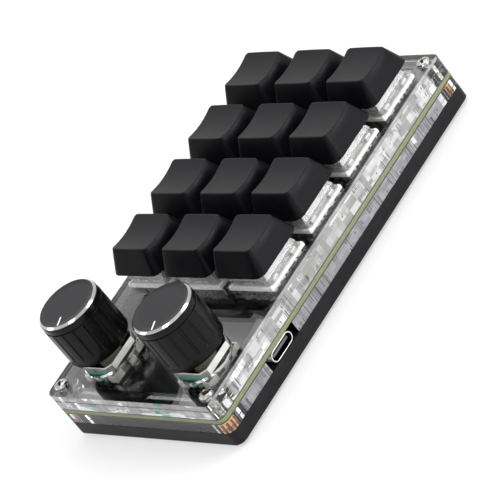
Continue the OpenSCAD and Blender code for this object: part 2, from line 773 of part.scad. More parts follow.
rubber_feet();
base_plate();
lower_frame();
circuit_board();
upper_frame();
top_plate();
spacers();
case_screws();
usb_shell();
usb_tongue();
board_parts();
key_lights();
hot_swap_sockets();
switch_contacts();
switch_bases();
switch_covers();
encoder_bases();
encoder_covers();
push_pin(-1);  // left_push_pin
push_pin(1);  // right_push_pin
shaft(-1);  // left_shaft
shaft(1);  // right_shaft
knob(-1);  // left_knob
knob(1);  // right_knob
spring(1, 1);  // spring_r1c1
spring(1, 2);  // spring_r1c2
spring(1, 3);  // spring_r1c3
spring(2, 1);  // spring_r2c1
spring(2, 2);  // spring_r2c2
spring(2, 3);  // spring_r2c3
spring(3, 1);  // spring_r3c1
spring(3, 2);  // spring_r3c2
spring(3, 3);  // spring_r3c3
spring(4, 1);  // spring_r4c1
spring(4, 2);  // spring_r4c2
spring(4, 3);  // spring_r4c3
stem(1, 1);  // stem_r1c1
stem(1, 2);  // stem_r1c2
stem(1, 3);  // stem_r1c3
stem(2, 1);  // stem_r2c1
stem(2, 2);  // stem_r2c2
stem(2, 3);  // stem_r2c3
stem(3, 1);  // stem_r3c1
stem(3, 2);  // stem_r3c2
stem(3, 3);  // stem_r3c3
stem(4, 1);  // stem_r4c1
stem(4, 2);  // stem_r4c2
stem(4, 3);  // stem_r4c3
keycap(1, 1);  // keycap_r1c1
keycap(1, 2);  // keycap_r1c2
keycap(1, 3);  // keycap_r1c3
keycap(2, 1);  // keycap_r2c1
keycap(2, 2);  // keycap_r2c2
keycap(2, 3);  // keycap_r2c3
keycap(3, 1);  // keycap_r3c1
keycap(3, 2);  // keycap_r3c2
keycap(3, 3);  // keycap_r3c3
keycap(4, 1);  // keycap_r4c1
keycap(4, 2);  // keycap_r4c2
keycap(4, 3);  // keycap_r4c3
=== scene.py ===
"""Looks of a macro keypad: twelve keys and two push knobs in a layered clear case.

Lengths are in millimetres, and MM turns them into the frame's metres.
"""

import math

import bmesh
import bpy
from mathutils import Matrix, Vector


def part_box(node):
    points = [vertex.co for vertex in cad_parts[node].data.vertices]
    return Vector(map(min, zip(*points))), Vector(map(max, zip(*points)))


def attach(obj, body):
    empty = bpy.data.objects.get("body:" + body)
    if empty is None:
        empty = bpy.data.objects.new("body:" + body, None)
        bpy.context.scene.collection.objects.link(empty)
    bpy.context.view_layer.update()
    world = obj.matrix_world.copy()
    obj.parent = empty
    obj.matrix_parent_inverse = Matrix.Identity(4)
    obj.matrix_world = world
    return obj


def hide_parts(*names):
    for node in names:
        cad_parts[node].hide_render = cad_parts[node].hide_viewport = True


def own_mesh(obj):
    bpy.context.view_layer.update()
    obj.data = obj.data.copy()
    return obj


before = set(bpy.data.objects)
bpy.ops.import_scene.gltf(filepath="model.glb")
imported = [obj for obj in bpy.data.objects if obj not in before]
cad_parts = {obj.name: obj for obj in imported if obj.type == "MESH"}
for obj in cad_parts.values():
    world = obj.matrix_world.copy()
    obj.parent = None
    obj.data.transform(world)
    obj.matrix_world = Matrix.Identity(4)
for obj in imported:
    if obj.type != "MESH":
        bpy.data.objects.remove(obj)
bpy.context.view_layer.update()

MM = 0.001
ROWS = range(1, 5)
COLUMNS = range(1, 4)
SIDES = ("left", "right")
CORNERS = [(sx, sy) for sx in (-1, 1) for sy in (-1, 1)]


# Places taken from the CAD


def place_of(node):
    """Middle of a CAD node as seen from above."""
    low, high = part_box(node)
    middle = (low + high) / 2 / MM
    return middle.x, middle.y


def span(node):
    """Lowest and highest corner of a CAD node."""
    low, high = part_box(node)
    return low / MM, high / MM


KEYS = {f"r{row}c{column}": place_of(f"stem_r{row}c{column}") for row in ROWS for column in COLUMNS}
KNOBS = {side: place_of(f"{side}_shaft") for side in SIDES}
KNOB_Y = KNOBS["left"][1]
BASE_TOP = span("base_plate")[1].z
BOARD_BOTTOM, BOARD_TOP = (corner.z for corner in span("circuit_board"))
PLATE_BOTTOM = span("top_plate")[0].z
CASE_X, CASE_Y, PLATE_TOP = span("top_plate")[1]
CASE_CORNER = 2.5
SIDE_FROM = CASE_X - 0.8
END_FROM = CASE_Y - 0.6
FRAME_X = 26.4
FLANGE_TOP = PLATE_TOP + 1.0
CLAW_TOP = BOARD_TOP + 2.5
RIM_Z = BOARD_TOP + 4.7
CAP_LOW, CAP_HIGH = span("keycap_r1c1")
KNOB_LOW, KNOB_HIGH = span("left_knob")
SPRING_LOW, SPRING_HIGH = span("spring_r1c1")


def new_object(name, data):
    """A new object for the data, in the scene."""
    made = bpy.data.objects.new(name, data)
    bpy.context.collection.objects.link(made)
    return made


# Materials


class Finish:
    """A node material under construction."""

    def __init__(self, name, colour, roughness, **sockets):
        self.material = bpy.data.materials.new(name)
        self.material.use_nodes = True
        self.tree = self.material.node_tree
        self.shader = self.tree.nodes["Principled BSDF"]
        self.shader.inputs["Base Color"].default_value = (*colour, 1)
        self.shader.inputs["Roughness"].default_value = roughness
        for socket, value in sockets.items():
            self.shader.inputs[socket.replace("_", " ")].default_value = value
        self.place = self.node("TexCoord").outputs["Object"]

    def node(self, kind, **settings):
        """A new shader node with its settings."""
        made = self.tree.nodes.new("ShaderNode" + kind)
        for key, value in settings.items():
            setattr(made, key, value)
        return made

    def link(self, source, target):
        """Joins an output to an input."""
        self.tree.links.new(source, target)

    def axis(self, name, vector=None):
        """One of the object coordinates, or of a vector's."""
        split = self.node("SeparateXYZ")
        self.link(vector or self.place, split.inputs["Vector"])
        return split.outputs[name]

    def stretched(self, x, y, z):
        """Object coordinates times a factor for each axis."""
        mapping = self.node("Mapping")
        mapping.inputs["Scale"].default_value = (x, y, z)
        self.link(self.place, mapping.inputs["Vector"])
        return mapping.outputs["Vector"]

    def noise(self, scale, detail, vector=None):
        """Soft noise over the object coordinates, or over stretched ones."""
        made = self.node("TexNoise")
        made.inputs["Scale"].default_value = scale
        made.inputs["Detail"].default_value = detail
        self.link(vector or self.place, made.inputs["Vector"])
        return made.outputs["Fac"]

    def cells(self, x, y, z):
        """A random number for each box of a grid with the given sizes; 0 leaves an axis whole."""
        count = self.node("VectorMath", operation="MULTIPLY")
        self.link(self.place, count.inputs[0])
        count.inputs[1].default_value = [1 / (size * MM) if size else 0 for size in (x, y, z)]
        box = self.node("VectorMath", operation="FLOOR")
        self.link(count.outputs["Vector"], box.inputs[0])
        chance = self.node("TexWhiteNoise", noise_dimensions="3D")
        self.link(box.outputs["Vector"], chance.inputs["Vector"])
        return chance.outputs["Value"]

    def ramp(self, value, low, high, at_low=0.0, at_high=1.0):
        """Turns a value between low and high into one between at_low and at_high."""
        made = self.node("MapRange")
        self.link(value, made.inputs["Value"])
        limits = {"From Min": low, "From Max": high, "To Min": at_low, "To Max": at_high}
        for socket, limit in limits.items():
            made.inputs[socket].default_value = limit
        return made.outputs["Result"]

    def past(self, value, place, width=0.05):
        """0 before a place and 1 past it; a width below zero turns that round."""
        return self.ramp(value, place * MM, (place + width) * MM)

    def blend(self, amount, first, second):
        """Colour that goes from first to second."""
        made = self.node("Mix", data_type="RGBA")
        self.link(amount, made.inputs["Factor"])
        for socket, colour in (("A", first), ("B", second)):
            slot = [s for s in made.inputs if s.name == socket and s.type == "RGBA"][0]
            if isinstance(colour, tuple):
                slot.default_value = (*colour, 1)
            else:
                self.link(colour, slot)
        return [s for s in made.outputs if s.type == "RGBA"][0]

    def size_of(self, value):
        """A number without its sign."""
        made = self.node("Math", operation="ABSOLUTE")
        self.link(value, made.inputs[0])
        return made.outputs["Value"]

    def upright(self):
        """How far a face looks up or down, from 0 on a wall to 1."""
        return self.size_of(self.axis("Z", self.node("TexCoord").outputs["Normal"]))

    def product(self, first, second):
        """One number times another."""
        made = self.node("Math", operation="MULTIPLY")
        self.link(first, made.inputs[0])
        self.link(second, made.inputs[1])
        return made.outputs["Value"]

    def colour(self, source):
        """Feeds the base colour."""
        self.link(source, self.shader.inputs["Base Color"])

    def rough(self, source):
        """Feeds the roughness."""
        self.link(source, self.shader.inputs["Roughness"])

    def clear(self, source):
        """Feeds the share of light that passes through."""
        self.link(source, self.shader.inputs["Transmission Weight"])

    def bump(self, height, depth):
        """Makes the surface rise and fall by a depth."""
        made = self.node("Bump")
        made.inputs["Distance"].default_value = depth * MM
        self.link(height, made.inputs["Height"])
        self.link(made.outputs["Normal"], self.shader.inputs["Normal"])


ACRYLIC_INDEX = 1.49


def moulded(name, dark, light, roughness, grain, depth, **sockets):
    """Moulded plastic: fine grain, slight colour and gloss variation."""
    made = Finish(name, dark, roughness, **sockets)
    cloud = made.noise(180, 5)
    made.colour(made.blend(made.ramp(cloud, 0.35, 0.65), dark, light))
    made.rough(made.ramp(cloud, 0.3, 0.7, roughness - 0.04, roughness + 0.05))
    made.bump(made.noise(grain, 2), depth)
    return made.material


def metal(name, tint, roughness, grain, depth, stretch=(1, 1, 1), least=0.82, metallic=1.0):
    """Metal with fine marks along one direction, the darkest at the least share of its tint."""
    made = Finish(name, tint, roughness, Metallic=metallic)
    marks = made.noise(grain, 3, made.stretched(*stretch))
    darker = tuple(c * least for c in tint)
    made.colour(made.blend(made.ramp(marks, 0.3, 0.7), darker, tint))
    made.rough(made.ramp(marks, 0.3, 0.7, roughness * 0.8, roughness * 1.3))
    made.bump(marks, depth)
    return made.material


def clear_acrylic(name, index=ACRYLIC_INDEX, tint=1.0):
    """Polished faces of clear sheet, with a trace of haze."""
    colour = (0.985 * tint, 0.99 * tint, 0.99 * tint)
    made = Finish(name, colour, 0.01, Transmission_Weight=1.0, IOR=index)
    made.rough(made.ramp(made.noise(90, 3), 0.4, 0.75, 0.0, 0.03))
    made.bump(made.noise(300, 2), 0.0008)
    return made.material


def cut_acrylic(name, clear, tones, code, roughness):
    """Laser-cut edge of clear sheet: pale blocks of painted reflection, fine lines, clusters of
    dark upright marks.

    The code is the share of the length without marks; the last stretch to a corner is clear.
    """
    block, half_block, block_tall = 3.7, 1.9, 1.15
    line, mark, corner_from = 0.16, 0.12, 50.5
    made = Finish(name, tones[1], roughness, Transmission_Weight=clear, IOR=ACRYLIC_INDEX)
    # Painted reflections: pale blocks along the length, as the parts inside show in the cut.
    blocks = made.product(made.cells(0, block, block_tall), made.cells(0, half_block, 0))
    colour = made.blend(made.ramp(blocks, 0.05, 0.4), *tones)
    colour = made.blend(made.ramp(made.cells(0, 0, line), 0.1, 0.6, 0.72), tones[0], colour)
    marks = made.ramp(made.cells(0, mark, 0), 0.72, 0.74)
    clusters = made.ramp(made.noise(240, 2, made.stretched(1, 1, 1.6)), code, code + 0.03)
    colour = made.blend(made.product(marks, clusters), colour, (0.16, 0.16, 0.18))
    corner = made.past(made.size_of(made.axis("Y")), corner_from, 1)
    made.colour(made.blend(corner, colour, (1.0, 1.0, 1.0)))
    made.clear(made.ramp(corner, 0, 1, clear, 1))
    made.rough(made.ramp(corner, 0, 1, roughness, 0.02))
    made.bump(made.noise(900, 3, made.stretched(1, 1, 0.05)), 0.006)
    return made.material


def end_acrylic(name, clear, dark, roughness, frosted=0.0, green=0.0):
    """Polished end of clear sheet with faint upright streaks.

    A share of it is in frosted blocks, painted reflections of the parts inside, and a share of
    those by the encoders is green, a painted reflection of their bases.
    """
    block_wide, block_tall, encoders_from = 3.3, 1.05, 8
    made = Finish(name, (0.95, 0.95, 0.95), roughness, Transmission_Weight=clear, IOR=ACRYLIC_INDEX)
    streaks = made.noise(900, 4, made.stretched(1, 1, 0.015))
    colour = made.blend(made.ramp(streaks, 0.3, 0.6), dark, (1.0, 1.0, 1.0))
    if frosted:
        # Painted reflections: pale blocks for the parts inside, green ones for the encoders' bases.
        chance = made.cells(block_wide, 0, block_tall)
        block = made.ramp(chance, frosted, frosted - 0.01)
        colour = made.blend(block, colour, (0.74, 0.75, 0.74))
        beside = made.past(made.size_of(made.axis("X")), encoders_from, 0.1)
        near = made.product(beside, made.past(made.axis("Y"), 0, -1))
        green_reflection = made.product(near, made.ramp(chance, green, green - 0.01))
        colour = made.blend(green_reflection, colour, (0.03, 0.42, 0.28))
        made.clear(made.ramp(block, 0, 1, clear, 0.5))
    made.colour(colour)
    made.rough(made.ramp(streaks, 0.35, 0.65, 0.3 * roughness, 1.6 * roughness))
    made.bump(streaks, 0.006)
    return made.material


def contact_acrylic():
    """Clear sheet lying on the black board along its left edge."""
    made = Finish("Contact_acrylic", (1, 1, 1), 0.02, Transmission_Weight=1.0, IOR=ACRYLIC_INDEX)
    edge = made.past(made.axis("X"), 0.05 - FRAME_X)
    specks = made.noise(900, 2)
    dark = made.blend(made.ramp(specks, 0.4, 0.7), (0.01, 0.01, 0.011), (0.02, 0.02, 0.022))
    made.colour(made.blend(edge, dark, (0.985, 0.99, 0.99)))
    made.clear(edge)
    made.rough(made.ramp(edge, 0, 1, 0.35, 0.02))
    made.bump(specks, 0.0001)
    return made.material


def seat_acrylic():
    """Top of the upper frame: clear, with a pale frosted seat for the plate on one side."""
    seat_from, block, line = 28.3, 2.6, 0.22
    made = Finish("Seat_acrylic", (1, 1, 1), 0.02, Transmission_Weight=1.0, IOR=ACRYLIC_INDEX)
    seat = made.past(made.axis("X"), seat_from, 0.1)
    blocks = made.product(made.cells(0, block, 0), made.cells(0, block / 2, 0))
    pale = made.blend(made.ramp(blocks, 0.02, 0.35), (0.74, 0.75, 0.74), (1.0, 1.0, 1.0))
    pale = made.blend(made.ramp(made.cells(line, 0, 0), 0.15, 0.5, 0.7), (0.7, 0.71, 0.7), pale)
    made.colour(made.blend(seat, (0.985, 0.99, 0.99), pale))
    made.clear(made.ramp(seat, 0, 1, 1, 0.1))
    made.rough(made.ramp(seat, 0, 1, 0.02, 0.12))
    made.bump(blocks, 0.0002)
    return made.material


def jagged_acrylic(name, clear, share):
    """Inner cut in teeth: a share of dark ones in painted dark reflection among bright ones in
    painted glints.
    """
    wide, tall = 0.8, 1.3
    made = Finish(name, (0.9, 0.9, 0.9), 0.12, Transmission_Weight=clear, IOR=ACRYLIC_INDEX)
    tooth = made.ramp(made.cells(wide, wide, tall), share, share + 0.02)
    # Painted dark reflections and painted glints, one tooth to each cell.
    made.colour(made.blend(tooth, (0.01, 0.01, 0.012), (0.95, 0.95, 0.95)))
    made.bump(made.noise(1300, 3), 0.02)
    return made.material


def clear_plastic(name, clear, tones, roughness):
    """Moulded polycarbonate, clear to milky."""
    made = Finish(name, tones[0], roughness, Transmission_Weight=clear, IOR=1.55)
    cloud = made.noise(420, 3)
    made.colour(made.blend(made.ramp(cloud, 0.35, 0.7), *tones))
    made.rough(made.ramp(cloud, 0.3, 0.7, roughness * 0.5, roughness * 1.5))
    made.bump(made.noise(900, 2), 0.006)
    return made.material


def board_laminate():
    """Glossy black solder mask on the faces, olive glass laminate on the cut edge."""
    made = Finish("Board_laminate", (0.01, 0.012, 0.012), 0.06)
    edge = made.ramp(made.upright(), 0.6, 0.3)
    fibres = made.noise(2600, 3, made.stretched(0.25, 0.25, 3))
    olive = made.blend(made.ramp(fibres, 0.35, 0.65), (0.13, 0.155, 0.07), (0.23, 0.25, 0.135))
    weave = made.noise(1500, 2)
    mask = made.blend(made.ramp(weave, 0.4, 0.6), (0.006, 0.007, 0.007), (0.011, 0.012, 0.012))
    made.colour(made.blend(edge, mask, olive))
    made.rough(made.ramp(edge, 0, 1, 0.14, 0.55))
    made.bump(weave, 0.0002)
    return made.material


def cover_steel():
    """Tinned sheet of an encoder's cover: bright wall and claws, with painted shade on the legs
    between them.
    """
    made = Finish("Cover_steel", (0.9, 0.9, 0.86), 0.2, Metallic=0.3)
    height = made.axis("Z")
    above = made.past(height, RIM_Z)
    below = made.past(height, CLAW_TOP + 0.05, -0.05)
    marks = made.noise(900, 3, made.stretched(1, 12, 1))
    bright = made.blend(made.ramp(marks, 0.3, 0.7), (0.82, 0.81, 0.76), (0.97, 0.96, 0.9))
    # Painted shade: near black on the legs between the claws and the rim.
    legs_painted_shade = made.blend(above, (0.07, 0.07, 0.06), bright)
    made.colour(made.blend(below, legs_painted_shade, bright))
    made.rough(made.ramp(marks, 0.3, 0.7, 0.16, 0.26))
    made.bump(marks, 0.001)
    return made.material


def encoder_plastic():
    """Black body with a grey top and green ends at its foot and rim, split by place."""
    end_from, foot, rim_tall = 5.9, 1.6, 0.75
    made = Finish("Encoder_plastic", (0.02, 0.02, 0.02), 0.32)
    height = made.axis("Z")
    away = made.node("Math", operation="SUBTRACT")
    made.link(made.axis("Y"), away.inputs[0])
    away.inputs[1].default_value = KNOB_Y * MM
    end = made.past(made.size_of(away.outputs["Value"]), end_from, 0.1)
    low = made.product(end, made.past(height, BOARD_TOP + foot, -0.1))
    rim = made.product(end, made.past(height, RIM_Z - rim_tall))
    top = made.past(height, RIM_Z)
    cloud = made.noise(300, 4)
    green = made.blend(made.ramp(cloud, 0.35, 0.65), (0.0, 0.30, 0.19), (0.01, 0.42, 0.28))
    grey = made.blend(made.ramp(cloud, 0.35, 0.65), (0.17, 0.2, 0.18), (0.23, 0.26, 0.24))
    colour = made.blend(low, (0.012, 0.014, 0.013), green)
    colour = made.blend(rim, colour, green)
    made.colour(made.blend(top, colour, grey))
    made.rough(made.ramp(cloud, 0.3, 0.7, 0.25, 0.4))
    made.bump(made.noise(3000, 2), 0.004)
    return made.material


# Lit and shaded copies of one cap plastic: the most sheen on the tops, less on the right sides,
# least on the other walls, as painted light and shade.
CAP_BLACK, SKIRT_SHADED_BLACK, SIDE_LIT_BLACK = [
    moulded(
        name, (0.003, 0.003, 0.004), (0.0045, 0.0045, 0.0055), 0.38, grain=5200, depth=0.012,
        Specular_IOR_Level=level, Specular_Tint=(0.96, 0.94, 1.0, 1),
    )
    for name, level in (("Cap_black", 0.17), ("Cap_skirt", 0.056), ("Cap_side", 0.12))
]
BASE_BLACK = moulded(
    "Base_black", (0.006, 0.006, 0.007), (0.01, 0.01, 0.0115), 0.45, grain=3800, depth=0.02,
    Specular_IOR_Level=0.16,
)
KNOB_BLACK = moulded(
    "Knob_black", (0.003, 0.003, 0.0035), (0.0045, 0.0045, 0.005), 0.2, grain=4200, depth=0.004,
    Specular_IOR_Level=0.14,
)
(
    MARK_WHITE, TONGUE_GREY, SOCKET_BLACK, CHIP_BLACK,
    STEM_WHITE, PIN_WHITE, RUBBER, LAMP_LENS, JOINT_LINE,
) = [
    moulded(*looks)
    for looks in (
        ("Mark_white", (0.8, 0.8, 0.8), (0.88, 0.88, 0.88), 0.4, 3000, 0.003),
        ("Tongue_grey", (0.10, 0.095, 0.105), (0.13, 0.125, 0.135), 0.4, 3000, 0.004),
        ("Socket_black", (0.01, 0.01, 0.01), (0.016, 0.016, 0.016), 0.45, 3600, 0.01),
        ("Chip_black", (0.012, 0.012, 0.013), (0.018, 0.018, 0.018), 0.38, 5200, 0.008),
        ("Stem_white", (0.72, 0.72, 0.68), (0.8, 0.8, 0.76), 0.35, 2500, 0.006),
        ("Pin_white", (0.7, 0.7, 0.66), (0.78, 0.78, 0.74), 0.35, 2500, 0.006),
        ("Rubber", (0.012, 0.012, 0.012), (0.02, 0.02, 0.02), 0.75, 2600, 0.03),
        ("Lamp_lens", (0.8, 0.78, 0.68), (0.88, 0.86, 0.78), 0.3, 2500, 0.004),
        ("Joint_line", (0.05, 0.05, 0.05), (0.09, 0.09, 0.09), 0.4, 2500, 0.004),
    )
]

KNOB_FACE = metal("Knob_face", (0.041, 0.039, 0.042), 0.36, 3800, 0.003)
KNOB_BRIGHT = metal("Knob_bright", (0.55, 0.55, 0.56), 0.1, 160, 0.002, least=0.7)
NICKEL = metal("Nickel", (0.6, 0.58, 0.55), 0.1, 900, 0.003, least=0.6)
# Painted shade for the dark cross recesses of the screw heads.
RECESS_SHADE = metal("Dark_recess", (0.1, 0.095, 0.09), 0.4, 1800, 0.003)
SHEET_STEEL = metal(
    "Sheet_steel", (0.8, 0.79, 0.76), 0.2, 900, 0.001, stretch=(1, 12, 1), least=0.88, metallic=0.6
)
# Painted shade for the inside of the socket's shell.
SHELL_INSIDE_SHADE = metal("Shell_inside", (0.012, 0.012, 0.013), 0.5, 1500, 0.002)
COVER_STEEL = cover_steel()
COVER_TOP_STEEL = metal(
    "Cover_top", (0.3, 0.29, 0.24), 0.12, 900, 0.001, stretch=(1, 12, 1), least=0.7
)
TINNED = metal("Tinned_lead", (0.12, 0.12, 0.115), 0.35, 900, 0.004, least=0.6)
SHAFT_STEEL = metal("Shaft_steel", (0.7, 0.7, 0.7), 0.26, 900, 0.004, stretch=(1, 1, 14))
SPRING_STEEL = metal("Spring_steel", (0.66, 0.66, 0.66), 0.22, 1500, 0.002)
BRASS = metal("Brass", (0.85, 0.42, 0.16), 0.2, 900, 0.006, stretch=(1, 1, 0.1), least=0.6)
# Painted shade for the knurl's valleys.
BRASS_VALLEY_SHADE = metal("Brass_valleys", (0.10, 0.05, 0.025), 0.4, 900, 0.003)
COPPER = metal("Copper_leaf", (0.86, 0.6, 0.36), 0.24, 900, 0.003, stretch=(1, 1, 8))
GOLD = metal("Contact_gold", (0.95, 0.72, 0.36), 0.2, 1200, 0.002, stretch=(10, 1, 1))

CLEAR_ACRYLIC = clear_acrylic("Clear_acrylic")
CAST_CLEAR = clear_acrylic("Cast_clear", index=1.0)
CAST_GREY = clear_acrylic("Cast_grey", index=1.0, tint=0.55)
LEFT_CUT = clear_acrylic("Left_cut", index=1.6)
UPPER_CUT = cut_acrylic("Upper_cut", 0.5, ((0.46, 0.47, 0.45), (1.0, 1.0, 1.0)), 0.55, 0.08)
LOWER_CUT = cut_acrylic("Lower_cut", 0.6, ((0.5, 0.49, 0.53), (0.68, 0.67, 0.72)), 0.46, 0.08)
END_CUT = end_acrylic("End_cut", 1.0, (0.7, 0.7, 0.71), 0.02)
END_FROST_REFLECTIONS = end_acrylic("End_frost", 0.7, (0.6, 0.6, 0.61), 0.04, frosted=0.2, green=0.085)
# Painted teeth of dark reflection and glints, for the plate's cut-outs and the housings' sides.
JAGGED = jagged_acrylic("Jagged_cut", 0.15, 0.5)
PAINTED_TEETH = jagged_acrylic("Housing_teeth", 0.1, 0.66)
SEAT = seat_acrylic()
CONTACT = contact_acrylic()
CLEAR_HOUSING = clear_plastic("Clear_housing", 0.75, ((0.95, 0.96, 0.95), (0.88, 0.89, 0.87)), 0.1)
MILKY_HOUSING = clear_plastic("Milky_housing", 0.05, ((0.97, 0.97, 0.95), (0.88, 0.88, 0.86)), 0.2)
# Painted shade: the switch bodies below the plate are dark, as the shade there.
BODY_SHADE = clear_plastic("Smoke_body", 0.4, ((0.02, 0.02, 0.02), (0.05, 0.05, 0.05)), 0.3)
BOARD_LAMINATE = board_laminate()
ENCODER_PLASTIC = encoder_plastic()


# Making meshes

SHARP = math.radians(30)


class Shells:
    """Points, faces and finishes of the closed shells of one piece."""

    def __init__(self):
        self.points, self.faces, self.finishes = [], [], []

    def add(self, points, faces, finish=0, at=(0, 0, 0)):
        """Takes in a shell, moved to a place, in one finish or a list of them."""
        base = len(self.points)
        self.points += [tuple(c + d for c, d in zip(p, at)) for p in points]
        self.faces += [tuple(base + i for i in face) for face in faces]
        self.finishes += finish if isinstance(finish, list) else [finish] * len(faces)

    def box(self, x, y, z):
        """Block between two limits on each axis."""
        points = [(x[i], y[j], z[k]) for k in (0, 1) for j in (0, 1) for i in (0, 1)]
        faces = [(0, 2, 3, 1), (4, 5, 7, 6), (0, 1, 5, 4), (2, 6, 7, 3), (0, 4, 6, 2), (1, 3, 7, 5)]
        self.add(points, faces)

    def lathe(self, profile, steps, at):
        """Body of revolution from (radius, height) pairs, closed at both ends."""
        self.add(*lofted([circle(*level, steps) for level in profile]), 0, at)

    def piece(self, name, materials, angle=35):
        """One mesh object, its edges over the angle sharp."""
        mesh = bpy.data.meshes.new(name)
        mesh.from_pydata([tuple(c * MM for c in p) for p in self.points], [], self.faces)
        for material in materials:
            mesh.materials.append(material)
        mesh.polygons.foreach_set("material_index", self.finishes)
        mesh.shade_smooth()
        work = bmesh.new()
        work.from_mesh(mesh)
        bmesh.ops.recalc_face_normals(work, faces=work.faces)
        work.to_mesh(mesh)
        work.free()
        mesh.set_sharp_from_angle(angle=math.radians(angle))
        return new_object(name, mesh)


def polar(radius, angle, *height):
    """Point at a distance and an angle, with a height if one is given."""
    return (radius * math.cos(angle), radius * math.sin(angle), *height)


def circle(radius, height, steps):
    """Points of a level ring."""
    return [polar(radius, 2 * math.pi * i / steps, height) for i in range(steps)]


def lofted(rings, close_first=True):
    """Points and faces of a skin over rings of equal length, a fan closing each end."""
    count = len(rings[0])
    points = [p for ring in rings for p in ring]
    faces = []
    last = (len(rings) - 1) * count
    for a in range(0, last, count):
        for i in range(count):
            j = (i + 1) % count
            faces.append((a + i, a + j, a + j + count, a + i + count))
    for start in (0, last) if close_first else (last,):
        ring = points[start : start + count]
        hub = len(points)
        points.append(tuple(sum(along) / count for along in zip(*ring)))
        for i in range(count):
            j = (i + 1) % count
            pair = (start + i, start + j) if start else (start + j, start + i)
            faces.append((*pair, hub))
    return points, faces


def straight_body(outline, angle, levels):
    """Points and faces of a straight body over a turned outline, between two levels."""
    turn = Matrix.Rotation(angle, 2)
    flat = [tuple(turn @ Vector(p)) for p in outline]
    return lofted([[(*p, z) for p in flat] for z in levels])


def soften(made, width, segments=2):
    """Rounds the edges a little, as a moulded or machined piece has them."""
    bevel = made.modifiers.new("Rounded_edges", "BEVEL")
    bevel.width = width * MM
    bevel.segments = segments
    bevel.limit_method = "ANGLE"
    bevel.angle_limit = SHARP
    shade = made.modifiers.new("Flat_faces", "WEIGHTED_NORMAL")
    shade.keep_sharp = True
    return made


def layer_of(node, material, shrink=0.0):
    """A copy of a CAD node with its flat faces joined and its own finish.

    Its top and bottom may shrink a little, so that it shares no face with its neighbours.
    """
    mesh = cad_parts[node].data.copy()
    mesh.name = node.capitalize()
    mesh.materials.clear()
    mesh.materials.append(material)
    made = new_object(mesh.name, mesh)
    work = bmesh.new()
    work.from_mesh(mesh)
    bmesh.ops.remove_doubles(work, verts=work.verts, dist=0.0005 * MM)
    flat = math.radians(0.5)
    bmesh.ops.dissolve_limit(work, angle_limit=flat, verts=work.verts, edges=work.edges)
    if shrink:
        low = min(v.co.z for v in work.verts)
        high = max(v.co.z for v in work.verts)
        for v in work.verts:
            v.co.z += shrink * MM * (1 - 2 * (v.co.z - low) / (high - low))
    work.to_mesh(mesh)
    work.free()
    mesh.shade_smooth()
    mesh.set_sharp_from_angle(angle=SHARP)
    return made


def copy_of(node, material, width, segments=2):
    """The same with its edges rounded."""
    return soften(layer_of(node, material), width, segments)


def on_outline(point):
    """Whether a point lies on the outer outline of the case's layers."""
    x, y = abs(point.x / MM), abs(point.y / MM)
    dx, dy = CASE_X - CASE_CORNER - x, CASE_Y - CASE_CORNER - y
    slack = 0.05
    if dx < 0 and dy < 0:
        return math.hypot(dx, dy) > CASE_CORNER - slack
    return x > CASE_X - slack or y > CASE_Y - slack


def chamfer(made, width, material, levels):
    """Bevels the outline of a layer at the levels, in a material of its own.

    Under the plate the bright cut on the socket's side hides the joint, so it has no bevel there.
    """
    mesh = made.data
    mesh.materials.append(material)
    weights = mesh.attributes.new("bevel_weight_edge", "FLOAT", "EDGE")
    for edge in mesh.edges:
        ends = [mesh.vertices[i].co for i in edge.vertices]
        level = ends[0].z / MM
        flat = abs(ends[0].z - ends[1].z) < 0.01 * MM
        hidden = abs(level - PLATE_BOTTOM) < 0.1 and min(p.x for p in ends) > SIDE_FROM * MM
        wanted = any(abs(level - z) < 0.1 for z in levels) and not hidden
        if wanted and flat and all(on_outline(p) for p in ends):
            weights.data[edge.index].value = 1.0
    bevel = made.modifiers.new("Joint", "BEVEL")
    bevel.width = width * MM
    bevel.limit_method = "WEIGHT"
    bevel.use_clamp_overlap = False
    bevel.material = len(mesh.materials) - 1


def refinish(made, material, chosen):
    """Gives another material to the faces that the middle and the normal choose."""
    made.data.materials.append(material)
    for face in made.data.polygons:
        if chosen(face.center / MM, face.normal):
            face.material_index = len(made.data.materials) - 1


def ride_for(made, body, slot, *nodes):
    """Sets a new piece on its body, in place of its CAD nodes; its slot is not used."""
    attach(made, body)
    if nodes:
        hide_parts(*nodes)


